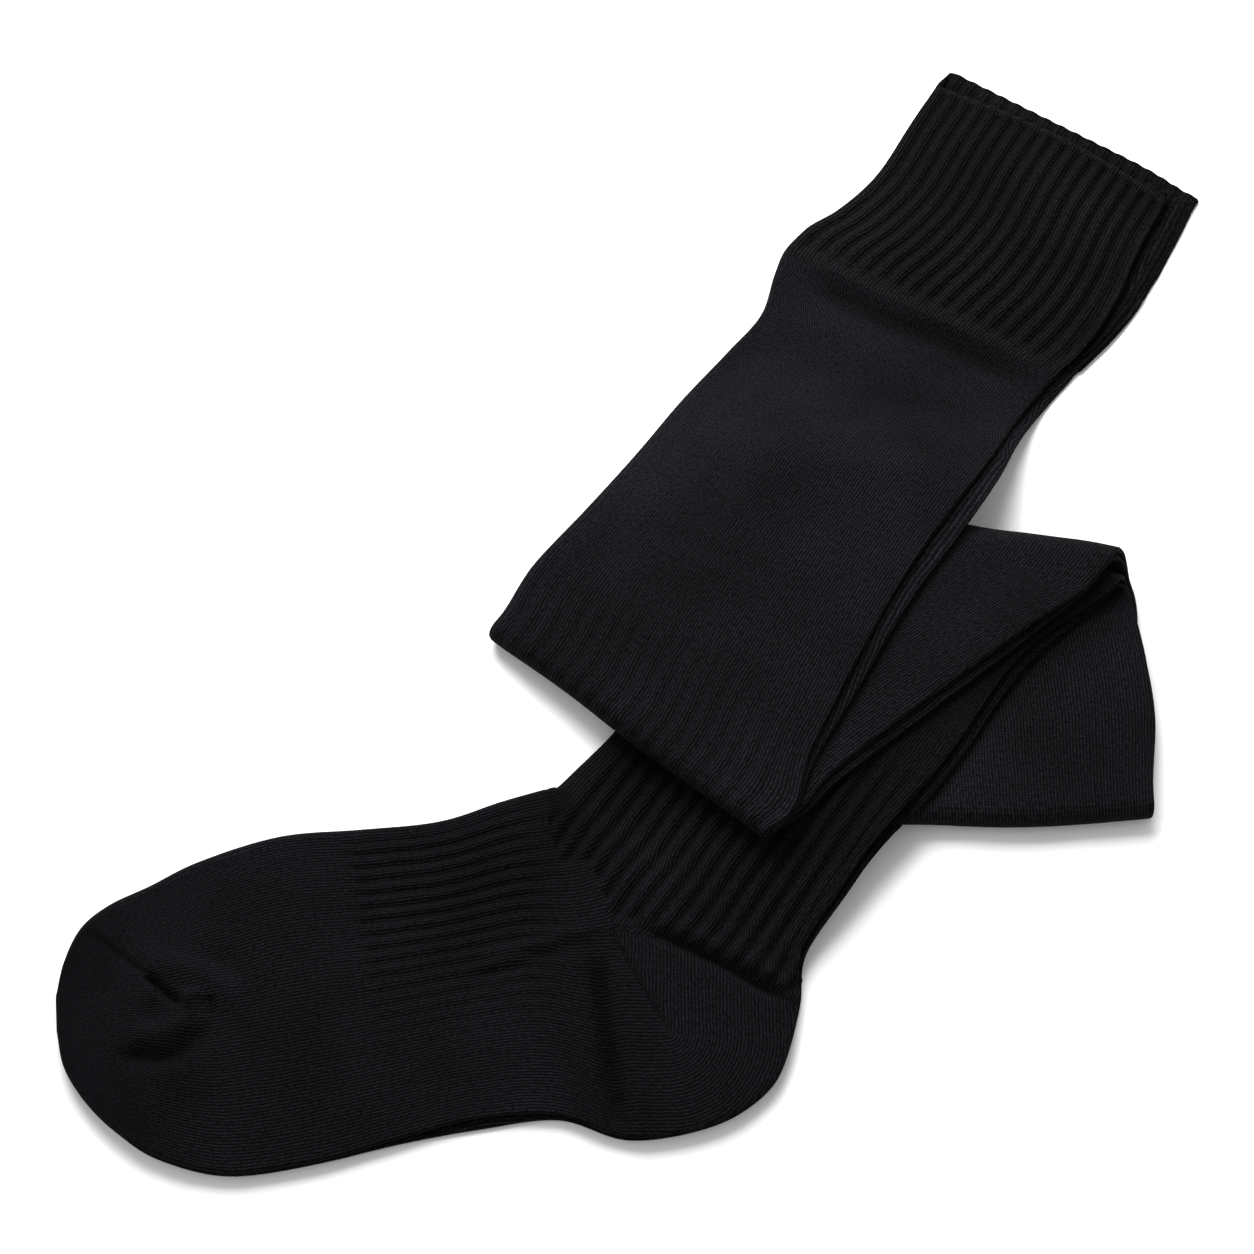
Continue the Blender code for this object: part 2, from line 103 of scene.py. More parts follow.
# The leg's sections from the ankle to the rim. Along is a share of the whole leg, puff a share of
# flat_thickness, and the rest are shares of calf_width. A positive lip shows the lower wall.
LegSection = namedtuple("LegSection", "along width slide lip notch puff")
leg_sections = [LegSection(*row) for row in (
    (0.000, 0.840, 0.000, 0.02, 0.08, 0.00),
    (0.060, 0.855, 0.020, 0.03, 0.08, 0.00),
    (0.120, 0.860, 0.035, 0.03, 0.07, 0.00),
    (0.155, 0.960, 0.085, 0.00, 0.03, 0.00),
    (0.180, 0.970, 0.095, 0.00, 0.03, 0.00),
    (0.240, 0.955, 0.105, -0.01, 0.04, 0.00),
    (0.300, 0.940, 0.095, 0.00, 0.02, 0.00),
    (0.380, 0.950, 0.120, 0.01, 0.04, 0.00),
    (0.430, 0.990, 0.158, 0.00, 0.02, 0.00),
    (0.475, 0.990, 0.158, 0.00, 0.02, 0.00),
    (0.500, 0.975, 0.110, -0.02, 0.05, 0.00),
    (0.550, 0.990, 0.000, -0.03, 0.08, 0.00),
    (0.600, 1.020, -0.110, -0.02, 0.06, 0.00),
    (0.620, 1.035, -0.146, 0.00, 0.04, 0.00),
    (0.633, 1.035, -0.146, 0.00, 0.04, 0.00),
    (0.665, 1.025, -0.203, 0.02, 0.06, 0.05),
    (0.702, 0.970, -0.252, 0.04, 0.08, 0.10),
    (0.741, 0.915, -0.298, 0.05, 0.09, 0.15),
    (0.778, 0.891, -0.339, 0.06, 0.09, 0.20),
    (0.812, 0.864, -0.373, 0.05, 0.09, 0.30),
    (0.838, 0.840, -0.399, 0.04, 0.09, 0.65),
    (0.862, 0.886, -0.446, 0.04, 0.09, 0.15),
    (0.875, 0.914, -0.464, 0.04, 0.09, 0.20),
    (0.889, 0.925, -0.465, 0.04, 0.09, 0.60),
    (0.906, 0.890, -0.456, 0.05, 0.09, 0.90),
    (0.928, 0.850, -0.468, 0.07, 0.09, 1.05),
    (0.960, 0.825, -0.525, 0.09, 0.10, 1.15),
    (1.000, 0.830, -0.580, 0.09, 0.10, 1.20),
)]
ankle_taper = 0.12
cuff_taper_start = 0.84
cuff_taper = 0.07

# Small pushes that bring the edges to where they lie: a place on the sheet in millimetres, how far
# round it the push is felt, the push, and the layers that feel it, counted up from the table.
Nudge = namedtuple("Nudge", "x y reach push_x push_y lowest highest")
nudges = [Nudge(*row) for row in (
    (-116, -156, 45, -1.6, 2.3, 0.0, 5.0),
    (52, -41, 24, -1.8, -1.2, 0.0, 5.0),
    (47, 12, 22, -2.1, -0.2, 2.4, 2.6),
    (43, 18, 34, -3.3, 4.9, 0.0, 1.6),
    (7, 121, 30, 2.9, -4.3, 0.0, 4.0),
    (84, 109, 30, 2.1, 1.4, 0.0, 4.0),
    (9, 274, 14, -1.7, -2.0, 4.4, 5.0),
    (-90, 20, 18, -1.6, -1.1, 3.0, 5.0),
    (-95, -100, 24, -1.0, 1.4, 0.0, 5.0),
    (12, 134, 22, 1.9, 0.4, 4.4, 5.0),
    (19, 6, 11, 3.4, -0.9, 3.2, 5.0),
)]


def unit(degrees):
    """A direction on the table, or one for each of several angles."""
    angle = np.radians(degrees)
    return np.stack([np.cos(angle), np.sin(angle)], axis=-1)


def smooth_read(x, y, at, flat_peaks=True):
    """A table's column read at any places, as a smooth curve through its rows."""
    x = np.asarray(x, float)
    y = np.asarray(y, float)
    at = np.clip(at, x[0], x[-1])
    slope = np.gradient(y, x)
    steep = np.diff(y) / np.diff(x)
    if flat_peaks:
        slope[1:-1] = np.where(steep[:-1] * steep[1:] > 0, slope[1:-1], 0.0)
    i = np.clip(np.searchsorted(x, at) - 1, 0, len(x) - 2)
    span = x[i + 1] - x[i]
    t = (at - x[i]) / span
    a = (2 * t ** 3 - 3 * t ** 2 + 1) * y[i] + (t ** 3 - 2 * t ** 2 + t) * span * slope[i]
    b = (-2 * t ** 3 + 3 * t ** 2) * y[i + 1] + (t ** 3 - t ** 2) * span * slope[i + 1]
    return a + b


def lay_folds():
    """Works out each fold's place and slant along the leg, so that the wrap nests round the corner."""
    heading = leg_heading
    across = heading - 90
    mirrored = 1
    headings = [heading]
    for fold in folds:
        fold["skew"] = mirrored * (fold["line"] - across)
        heading = 2 * fold["line"] - heading
        across = 2 * fold["line"] - across
        mirrored = -mirrored
        headings.append(heading)
    outward = unit(folds[0]["line"] + 90)
    back_run = (nest_gap - flap_run * unit(headings[1]) @ outward) / (unit(headings[2]) @ outward)
    along = 0.0
    for fold, run in zip(folds, [rise_run, flap_run, back_run, strip_run]):
        along += run
        fold["start"] = along
        along += math.pi * fold["radius"] / math.cos(math.radians(fold["skew"]))
        fold["end"] = along
    return along + top_run


leg_length = lay_folds()


def skew_at(along):
    """The slant of a cross line: each fold's own on the fold, and a blend between folds."""
    stops = [(0.0, 0.0)]
    for fold in folds:
        stops += [(fold["start"], fold["skew"]), (fold["end"], fold["skew"])]
    stops += [
        (folds[-1]["end"] + 0.25 * top_run, 0.5 * rim_slant),
        (leg_length - cuff_length, cuff_slant),
        (leg_length, rim_slant),
    ]
    return np.interp(along, [s[0] for s in stops], [s[1] for s in stops])


def leg_stations(along):
    """Cross lines of the leg, with the tube's shape at each."""
    along = np.asarray(along, float)
    share = along / leg_length
    read = {}
    for column in ("width", "slide", "lip", "notch", "puff"):
        rows = [getattr(row, column) for row in leg_sections]
        read[column] = smooth_read([row.along for row in leg_sections], rows, share)
    near_ankle = np.clip(1 - share / ankle_taper, 0.0, 1.0)
    near_cuff = np.clip((share - cuff_taper_start) / cuff_taper, 0.0, 1.0)
    full = calf_width * read["width"]
    full = full + near_ankle * (ankle_width - calf_width * leg_sections[0].width)
    full = full + near_cuff * (cuff_width - calf_width * leg_sections[-1].width)
    skew = skew_at(along)
    middle = np.outer(along, unit(leg_heading))
    middle = middle + np.outer(calf_width * read["slide"], unit(leg_heading - 90))
    side = unit(leg_heading - 90 + skew) * (0.5 * full / np.cos(np.radians(skew)))[:, None]
    return {
        "left": middle - side,
        "right": middle + side,
        "lip": calf_width * read["lip"],
        "notch": calf_width * read["notch"],
        "puff": flat_thickness * read["puff"],
        "thick": np.full(len(along), flat_thickness),
        "v": along,
    }


def foot_stations(rows):
    """Cross lines of the foot, placed so that the ankle's line falls on the leg's first line."""
    ahead = unit(foot_heading) * foot_length
    down = unit(foot_heading + 90) * foot_height
    ankle = 0.5 * (ankle_line.ahead + ankle_line.sole_ahead) * ahead
    ankle = ankle + 0.5 * (ankle_line.down + ankle_line.sole_down) * down
    return {
        "left": np.array([row.ahead * ahead + row.down * down - ankle for row in rows]),
        "right": np.array([row.sole_ahead * ahead + row.sole_down * down - ankle for row in rows]),
        "thick": np.array([flat_thickness * row.thick for row in rows]),
        "puff": np.array([flat_thickness * row.puff for row in rows]),
        "notch": np.array([ankle_width * row.notch for row in rows]),
        "lip": np.array([ankle_width * row.lip for row in rows]),
    }


def fold_frames():
    """Each fold's line on the sheet: a point, the direction beyond it, its radius and side."""
    frames = []
    for fold in folds:
        station = leg_stations([fold["start"]])
        side = unit(leg_heading - 90 + fold["skew"])
        beyond = np.array([-side[1], side[0]])
        middle = 0.5 * (station["left"][0] + station["right"][0])
        frames.append((middle, beyond, fold["radius"], fold["side"]))
    return frames


def folded(points, heights):
    """Sheet points at heights off the sheet's middle, moved to the ideal flat stack."""
    flat = points.copy()
    place = points.copy()
    level = heights.copy()
    for point, beyond, radius, side in reversed(fold_frames()):
        u = (flat - point) @ beyond
        reach = (place - point) @ beyond
        angle = u / radius
        bend = radius - side * level
        over = u >= math.pi * radius
        on = (u > 0) & ~over
        new_reach = np.where(over, math.pi * radius - reach, np.where(on, bend * np.sin(angle), reach))
        curl_level = side * (radius - bend * np.cos(angle))
        new_level = np.where(over, 2 * side * radius - level, np.where(on, curl_level, level))
        place = place + np.outer(new_reach - reach, beyond)
        level = new_level
    return place, level


def ease(t):
    """Zero to one with a soft start and end."""
    t = np.clip(t, 0.0, 1.0)
    return t * t * (3 - 2 * t)


def distance_to_line(points, line):
    """How far each point is from a chain of segments, and how far along the chain its foot lies."""
    a = line[:-1]
    edge = line[1:] - a
    lengths = np.linalg.norm(edge, axis=1)
    before = np.concatenate([[0.0], np.cumsum(lengths)[:-1]])
    to_point = points[:, None, :] - a[None, :, :]
    t = np.clip((to_point * edge).sum(-1) / ((edge * edge).sum(-1) + 1e-12), 0, 1)
    away = np.linalg.norm(to_point - t[..., None] * edge, axis=-1)
    best = away.argmin(axis=1)
    pick = np.arange(len(points))
    return away[pick, best], (before[best] + t[pick, best] * lengths[best]) / lengths.sum()


def distance_outside(points, outline):
    """How far each point lies outside a closed outline on the table."""
    closed = np.concatenate([outline, outline[:1]])
    nearest = distance_to_line(points, closed)[0]
    a = closed[:-1]
    edge = closed[1:] - a
    crosses = (a[None, :, 1] > points[:, None, 1]) != (closed[None, 1:, 1] > points[:, None, 1])
    slope = edge[None, :, 0] / np.where(np.abs(edge[None, :, 1]) < 1e-12, 1e-12, edge[None, :, 1])
    at = a[None, :, 0] + (points[:, None, 1] - a[None, :, 1]) * slope
    inside = (crosses & (points[:, None, 0] < at)).sum(axis=1) % 2 == 1
    return np.where(inside, 0.0, nearest)


def layer_outline(stations):
    """The plan outline of one straight layer of the stack."""
    ring = np.concatenate([stations["left"], stations["right"][::-1]])
    return folded(ring, np.zeros(len(ring)))[0]


def stack_outlines():
    """The four layers that something may lie on, from the lowest up."""
    corner, hem, wrap, front = folds
    foot = foot_stations(foot_lines)
    rise = leg_stations(np.linspace(0, corner["start"], 4))
    body = {side: np.concatenate([foot[side], rise[side]]) for side in ("left", "right")}
    return [
        layer_outline(leg_stations(np.linspace(hem["end"], wrap["start"], 4))),
        layer_outline(leg_stations(np.linspace(corner["end"], hem["start"], 4))),
        layer_outline(body),
        layer_outline(leg_stations(np.linspace(wrap["end"], front["start"], 6))),
    ]


outlines = stack_outlines()


def nudged(places, slots):
    """How far each point of the stack is pushed along the table."""
    moved = np.zeros_like(places)
    for nudge in nudges:
        away = np.linalg.norm(1000 * places - (nudge.x, nudge.y), axis=1)
        felt = np.exp(-(away / nudge.reach) ** 2)
        felt = felt * ease((slots - nudge.lowest) / 0.4 + 1) * ease((nudge.highest - slots) / 0.4 + 1)
        moved += felt[:, None] * np.array([nudge.push_x, nudge.push_y]) * 0.001
    return moved


def draped(points, heights):
    """Sheet points on the table: the stack's layers come down wherever there is none below."""
    place, level = folded(points, np.zeros(len(points)))
    skin, skin_level = folded(points, heights)
    slots = (level + rise_level) / layer_pitch
    fall = np.zeros(len(points))
    for number, outline in enumerate(outlines):
        cover = 1 - ease((distance_outside(place, outline) - drape_margin) / drape_length)
        fall += layer_pitch * (1 - cover) * np.clip(slots - number, 0.0, 1.0)
    skin = skin + nudged(skin, slots)
    return np.column_stack([skin, skin_level + rise_level - fall - 0.5 * layer_gap])


# The knitted tube
# Every zone is one tube of knit, a millimetre thick, made as a grid that is wrapped round the
# flattened section: a round left side, an upper and a lower wall, and two lips on the right.

knit_wall = 0.0011
slit_opening = 0.0009
round_columns = 10
lip_columns = 7
slit_columns = 5


def section(stations, top_places, bottom_places, width):
    """Offsets across and up for every cross line and column, and the yarn's place round the tube."""
    count = len(stations["thick"])
    half = 0.5 * np.linalg.norm(stations["right"] - stations["left"], axis=1)[:, None]
    thick = np.minimum(stations["thick"][:, None], 1.6 * half)
    middle = 0.5 * thick
    lip = stations["lip"][:, None]
    notch = np.minimum(stations["notch"][:, None], 0.5 * half)
    puff = stations["puff"][:, None]
    curl = 0.25 * (thick - slit_opening)
    start = -half + middle
    upper_tip = half - curl + np.maximum(-lip, 0.0)
    lower_tip = half - curl + np.maximum(lip, 0.0)
    across = []
    up = []
    around = []

    top = top_places[None, :]
    across.append(start + top * (upper_tip - start))
    swell = (4 * top * (1 - top)) ** 1.3
    up.append(thick + puff * swell)
    around.append(top * width * np.ones((count, 1)))

    turn = np.linspace(90, -90, lip_columns + 2)[1:-1][None, :]
    across.append(upper_tip + curl * np.cos(np.radians(turn)))
    up.append(thick - curl + curl * np.sin(np.radians(turn)))
    around.append(width + curl * np.radians(90 - turn))

    inward = np.linspace(0, 1, slit_columns)[None, :]
    across.append(upper_tip + inward * (half - notch - upper_tip))
    up.append(middle + 0.5 * slit_opening * (1 - inward ** 2))
    around.append(width + math.pi * curl + inward * notch)
    outward = inward[:, ::-1][:, 1:]
    across.append(lower_tip + outward * (half - notch - lower_tip))
    up.append(middle - 0.5 * slit_opening * (1 - outward ** 2))
    around.append(width + math.pi * curl + (2 - outward) * notch)

    across.append(lower_tip + curl * np.cos(np.radians(turn)))
    up.append(curl + curl * np.sin(np.radians(turn)))
    around.append(width + math.pi * curl + 2 * notch + curl * np.radians(90 - turn))

    bottom = bottom_places[::-1][None, :]
    across.append(start + bottom * (lower_tip - start))
    up.append(np.zeros((count, len(bottom_places))))
    around.append((2 - bottom) * width * np.ones((count, 1)))

    turn = np.linspace(270, 90, round_columns + 2)[1:-1][None, :]
    across.append(start + middle * np.cos(np.radians(turn)))
    up.append(middle + middle * np.sin(np.radians(turn)))
    around.append(2 * width + middle * np.radians(270 - turn))
    return np.hstack(across), np.hstack(up), np.hstack(around)


def sheet_points(stations, across, up, set_back=0.0):
    """The grid's points on the table, in the row's frame."""
    side = stations["right"] - stations["left"]
    side = side / np.linalg.norm(side, axis=1)[:, None]
    onward = np.stack([-side[:, 1], side[:, 0]], axis=-1)
    middle = 0.5 * (stations["left"] + stations["right"])
    back = set_back * ease(up / stations["thick"][:, None])
    flat = middle[:, None, :] + side[:, None, :] * across[..., None] - onward[:, None, :] * back[..., None]
    heights = (up - 0.5 * flat_thickness).ravel()
    placed = draped(flat.reshape(-1, 2), heights).reshape(*across.shape, 3)
    return placed + np.array(sheet_origin)


def normals_of(points):
    """The outward direction at each point of a grid that closes round its columns."""
    around = np.roll(points, -1, axis=1) - np.roll(points, 1, axis=1)
    along = np.gradient(points, axis=0)
    out = np.cross(around, along)
    return out / (np.linalg.norm(out, axis=-1, keepdims=True) + 1e-12)


def pressed(flat, creases):
    """Height added at each point by creases and welts, each a line on the sheet in millimetres."""
    spots = flat.reshape(-1, 2)
    total = np.zeros(len(spots))
    for line, reach, height in creases:
        away, share = distance_to_line(spots, np.array(line, float))
        ends = ease(np.minimum(share, 1 - share) / 0.2) if len(line) > 2 else 1.0
        total += height * 0.001 * np.exp(-(away / reach) ** 2) * (0.1 + 0.9 * ends)
    return total.reshape(flat.shape[:-1])


def undulation(points):
    """Slow hollows and rises of soft cloth."""
    x, y, z = np.moveaxis(1000 * points, -1, 0)
    slow = np.sin(x / 7.1 + 1.3 * np.sin(y / 11) + z) + np.sin(y / 8.3 + 1.7 * np.sin(x / 13))
    return 0.00010 * slow + 0.00006 * np.sin((x + 0.7 * y) / 3.9 + 1.1 * np.sin(y / 6))


def rib_valley(phase):
    """How deep in the groove between two ribs a point is, from 0 on a rib to 1 in the groove."""
    return (0.5 - 0.5 * np.cos(2 * math.pi * phase)) ** 1.4


look_angle = 124.2


def height_over(flat, line):
    """How far each point lies beyond a chain, away from the camera, in millimetres on the table."""
    right = unit(look_angle - 90)
    upward = unit(look_angle)
    chain = np.array(line, float)
    return flat @ upward - np.interp(flat @ right, chain @ right, chain @ upward)


def knitted(name, points, across_yarn, along_yarn, painted_shade, material, closed_start=False):
    """A zone of the sock from its grid of points: a wrapped grid, with the yarn's own UV map."""
    rows, columns = points.shape[:2]
    for thing in bpy.context.selected_objects:
        thing.select_set(False)
    bpy.ops.mesh.primitive_grid_add(x_subdivisions=columns, y_subdivisions=rows - 1, size=1)
    thing = bpy.context.object
    thing.name = name
    thing.data.name = name
    wrapped = np.concatenate([points, points[:, :1]], axis=1)
    thing.data.vertices.foreach_set("co", wrapped.reshape(-1))
    step = across_yarn[:, -1:] + (across_yarn[:, -1:] - across_yarn[:, -2:-1])
    u = np.concatenate([across_yarn, step], axis=1).ravel()
    v = np.concatenate([along_yarn, along_yarn[:, :1]], axis=1).ravel()
    corner = np.zeros(len(thing.data.loops), int)
    thing.data.loops.foreach_get("vertex_index", corner)
    yarn = thing.data.uv_layers[0]
    yarn.name = "yarn"
    yarn.data.foreach_set("uv", np.stack([u[corner], v[corner]], axis=-1).ravel())
    # The groove attribute carries painted shade: how much darker the knit is painted in grooves, in creases
    # and under the folds
    shade_layer = thing.data.attributes.new("groove", "FLOAT", "POINT")
    shade_layer.data.foreach_set("value", np.concatenate([painted_shade, painted_shade[:, :1]], axis=1).ravel())
    bpy.ops.object.mode_set(mode="EDIT")
    bpy.ops.mesh.select_all(action="SELECT")
    bpy.ops.mesh.remove_doubles(threshold=0.00001)
    if closed_start:
        bpy.ops.mesh.select_all(action="DESELECT")
        bpy.ops.object.mode_set(mode="OBJECT")
        for vertex in thing.data.vertices[:columns]:
            vertex.select = True
        bpy.ops.object.mode_set(mode="EDIT")
        bpy.ops.mesh.edge_face_add()
        bpy.ops.mesh.select_all(action="SELECT")
    bpy.ops.mesh.normals_make_consistent(inside=False)
    bpy.ops.object.mode_set(mode="OBJECT")
    shell = thing.modifiers.new("wall", "SOLIDIFY")
    shell.thickness = knit_wall
    shell.offset = -1
    bpy.ops.object.modifier_apply(modifier="wall")
    bpy.ops.object.shade_smooth_by_angle(angle=math.radians(55))
    thing.data.materials.append(material)
    return thing


# Yarn: black cotton and polyamide, knitted in stocking stitch
# Matt and slightly hairy, so it has a faint bluish sheen where it is seen edge on. The wales are
# fine ridges that run along the sock, and each is a column of leaning stitches.

def linear(code):
    """An sRGB hex colour as linear light."""
    parts = [int(code[i:i + 2], 16) / 255 for i in (1, 3, 5)]
    return [c / 12.92 if c <= 0.04045 else ((c + 0.055) / 1.055) ** 2.4 for c in parts] + [1.0]


def node(tree, kind, settings=None, **links):
    """Adds a node with its settings, and links or sets its inputs by name."""
    new = tree.nodes.new(kind)
    for key, value in (settings or {}).items():
        setattr(new, key, value)
    for key, value in links.items():
        numbered = key[0] == "i" and key[1:].isdigit()
        socket = new.inputs[int(key[1:]) if numbered else key.replace("_", " ")]
        if isinstance(value, bpy.types.NodeSocket):
            tree.links.new(value, socket)
        else:
            socket.default_value = value
    return new


def stocking_stitch(name, groove, ridge, wale, course, sheen):
    """A knitted yarn material: ridges of leaning stitches, with wale and course in millimetres. Its colour
    runs from groove in the gaps to ridge on the crests, as painted shade.
    """
    material = bpy.data.materials.new(name)
    material.use_nodes = True
    tree = material.node_tree
    shader = tree.nodes["Principled BSDF"]
    math_node = "ShaderNodeMath"
    yarn = node(tree, "ShaderNodeUVMap", {"uv_map": "yarn"}).outputs["UV"]
    place = node(tree, "ShaderNodeTexCoord").outputs["Object"]

    # The wales wander, and each stitch leans its own way
    wide = node(tree, "ShaderNodeTexNoise", Vector=place, Scale=90.0, Detail=2.0)
    fine = node(tree, "ShaderNodeTexNoise", Vector=place, Scale=520.0, Detail=1.0)
    split = node(tree, "ShaderNodeSeparateXYZ", Vector=yarn)
    drift = node(tree, "ShaderNodeSeparateXYZ", Vector=wide.outputs["Color"])
    shiver = node(tree, "ShaderNodeSeparateXYZ", Vector=fine.outputs["Color"])
    wales = node(tree, math_node, {"operation": "MULTIPLY"}, i0=split.outputs["X"], i1=1000 / wale)
    wales = node(tree, math_node, {"operation": "MULTIPLY_ADD"}, i0=drift.outputs["X"], i1=1.1,
                 i2=wales.outputs[0])
    wales = node(tree, math_node, {"operation": "MULTIPLY_ADD"}, i0=shiver.outputs["X"], i1=0.45,
                 i2=wales.outputs[0])
    courses = node(tree, math_node, {"operation": "MULTIPLY"}, i0=split.outputs["Y"], i1=1000 / course)
    courses = node(tree, math_node, {"operation": "MULTIPLY_ADD"}, i0=drift.outputs["Y"], i1=2.0,
                   i2=courses.outputs[0])

    # Each wale is an arch with a row of stitches on it
    fold_back = node(tree, math_node, {"operation": "PINGPONG"}, i0=wales.outputs[0], i1=0.5)
    from_crest = node(tree, math_node, {"operation": "MULTIPLY"}, i0=fold_back.outputs[0], i1=2.0)
    fall = node(tree, math_node, {"operation": "POWER"}, i0=from_crest.outputs[0], i1=1.25)
    arch = node(tree, math_node, {"operation": "SUBTRACT"}, i0=1.0, i1=fall.outputs[0])
    lean = node(tree, math_node, {"operation": "MULTIPLY_ADD"}, i0=from_crest.outputs[0], i1=0.6,
                i2=courses.outputs[0])
    turn = node(tree, math_node, {"operation": "MULTIPLY"}, i0=lean.outputs[0], i1=2 * math.pi)
    stitch = node(tree, math_node, {"operation": "COSINE"}, i0=turn.outputs[0])
    share = node(tree, math_node, {"operation": "MULTIPLY_ADD"}, i0=stitch.outputs[0], i1=0.22, i2=0.78)
    knot = node(tree, math_node, {"operation": "MULTIPLY"}, i0=share.outputs[0], i1=arch.outputs[0])

    # Dashes along the wales, where some stitches stand proud and some sink
    stretch = node(tree, "ShaderNodeVectorMath", {"operation": "MULTIPLY"}, i0=yarn,
                   i1=(1000.0 / wale, 700.0 / course, 1.0))
    dash = node(tree, "ShaderNodeTexNoise", {"noise_dimensions": "2D"}, Vector=stretch.outputs[0], Scale=1.0,
                Detail=2.0)
    proud = node(tree, "ShaderNodeMapRange", Value=dash.outputs["Fac"], From_Min=0.3, From_Max=0.7,
                 To_Min=0.35, To_Max=1.4)
    fibre = node(tree, "ShaderNodeTexNoise", Vector=place, Scale=1500.0, Detail=2.0)
    height = node(tree, math_node, {"operation": "MULTIPLY"}, i0=knot.outputs[0], i1=proud.outputs["Result"])
    height = node(tree, math_node, {"operation": "MULTIPLY_ADD"}, i0=fibre.outputs["Fac"], i1=0.5,
                  i2=height.outputs[0])
    # Painted shade and light on the stitches: the colour runs from the groove colour in the gaps to the
    # ridge colour on the crests and the proud stitches
    lit = node(tree, math_node, {"operation": "MULTIPLY"}, i0=knot.outputs[0], i1=proud.outputs["Result"])
    tone = node(tree, "ShaderNodeMix", {"data_type": "RGBA"}, i0=lit.outputs[0], i6=linear(groove),
                i7=linear(ridge))

    # Slow mottling at random, and painted shade from the groove attribute in the grooves, in the creases and
    # under the folds
    patch = node(tree, "ShaderNodeTexNoise", Vector=place, Scale=24.0, Detail=3.0)
    mottle = node(tree, "ShaderNodeMapRange", Value=patch.outputs["Fac"], From_Min=0.3, From_Max=0.7,
                  To_Min=0.72, To_Max=1.28)
    shade_amount = node(tree, "ShaderNodeAttribute", {"attribute_name": "groove"})
    shade = node(tree, "ShaderNodeMapRange", Value=shade_amount.outputs["Fac"], To_Min=1.0, To_Max=0.38)
    strength = node(tree, math_node, {"operation": "MULTIPLY"}, i0=mottle.outputs["Result"],
                    i1=shade.outputs["Result"])
    colour = node(tree, "ShaderNodeVectorMath", {"operation": "SCALE"}, i0=tone.outputs[2],
                  Scale=strength.outputs[0])
    tree.links.new(colour.outputs[0], shader.inputs["Base Color"])
    bump = node(tree, "ShaderNodeBump", Strength=1.0, Distance=0.0004, Height=height.outputs[0])
    tree.links.new(bump.outputs["Normal"], shader.inputs["Normal"])
    shader.inputs["Roughness"].default_value = 0.9
    shader.inputs["Specular IOR Level"].default_value = 0.03
    shader.inputs["Sheen Weight"].default_value = sheen
    shader.inputs["Sheen Roughness"].default_value = 0.5
    shader.inputs["Sheen Tint"].default_value = linear("#c9c8de")
    return material


# One yarn and gauge all over, in lit and shaded copies. The leg's copy is a touch bluer and lighter than the
# foot's and the ribs', as painted light on the leg, which lies mostly up in the stack. The foot's copy is
# painted darker, as painted shade on the low foot.
wale_width = 1.05
course_height = 0.9
# The colour painted into the gaps between stitches, as painted shade
stitch_gap_shade = "#020202"
foot_knit_shaded = stocking_stitch("foot_knit_painted_darker", stitch_gap_shade, "#1b1b1f", wale_width, course_height, 0.008)
leg_knit_lit = stocking_stitch("leg_knit_painted_lighter", stitch_gap_shade, "#202024", wale_width,
                           course_height, 0.010)
ribbed_knit = stocking_stitch("ribbed_black_knit", stitch_gap_shade, "#1e1e21", wale_width, course_height, 0.008)

# A groove or a crease this deep gets the darkest painted shade. On the side that faces up, marks start
# within a small share of the width from the round side.
darkest_groove = 0.0014
darkest_crease = 0.0045
edge_share = 0.04


def even(count):
    """Places from the round side to the lips at even steps."""
    return np.linspace(0, 1, count)


def zone(name, stations, places, width, material, creases=(), start=-1.0, relief=None, yarn=None,
         fold_shade=None, set_back=0.0, all_round=False):
    """Knits one zone, presses its creases into the side that faces up, and dresses its solid.

    The creases are felt from start on, a place along the sock. The relief's ribs are felt on the
    same side, or on both walls if all_round is set. The function for the shade under the folds gives
    painted shade where the folds above keep the light off, and set_back how far the upper wall stops
    short. Grooves and creases are painted darker as well, as painted shade. The toe is closed at its tip.
    """
    top_places, bottom_places = places
    across, up, around = section(stations, top_places, bottom_places, width)
    points = sheet_points(stations, across, up, set_back)
    along = np.repeat(stations["v"][:, None], across.shape[1], axis=1)
    flat = 1000 * (points - np.array(sheet_origin))[..., :2]
    out = normals_of(points)
    facing = ease(out[..., 2] / 0.5)
    away_from_edge = ease(around / width / edge_share) * (around < 2 * width)
    upper = facing * away_from_edge
    felt = np.ones(facing.shape) if all_round else upper
    dents = pressed(flat, creases) * (along > start)
    ribs = relief(flat, along, around / width) if relief else 0.0 * dents
    lift = felt * ribs + upper * (dents + undulation(points))
    # Painted shade where the folds above keep the light off the knit
    closed = fold_shade(flat, along) if fold_shade else 0.0
    # Painted shade in the ribs' grooves and in the pressed creases, added to the painted shade under the
    # folds
    painted_shade = np.clip(closed - felt * ribs / darkest_groove - upper * dents / darkest_crease, 0.0, 1.0)
    points = points + out * lift[..., None]
    if yarn:
        around, along = yarn(flat, along, around)
    thing = knitted("knit_" + name, points, around, along, painted_shade, material, closed_start=name == "toe")
    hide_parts(name)
    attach(thing, "root")
    return thing


# Foot, heel and toe
# Plain stocking stitch worked round from the ankle, with ribs on the instep, a heel cup and a toe
# closed by one seam that gathers the knit. Rows run between the foot's cross lines at even steps.

# Control lines through the foot and on up the leg, where the ribbed ankle ends on the last but one
rise_lines = leg_stations([0.0, 0.0125, 0.025, 0.0375, 0.050, 0.0625])
foot_rows = foot_stations(foot_lines)
controls = {key: np.concatenate([foot_rows[key], rise_lines[key]]) for key in foot_rows}
toe_end = 4
heel_start = 10
heel_end = 14
ankle_end = len(foot_lines) + 4


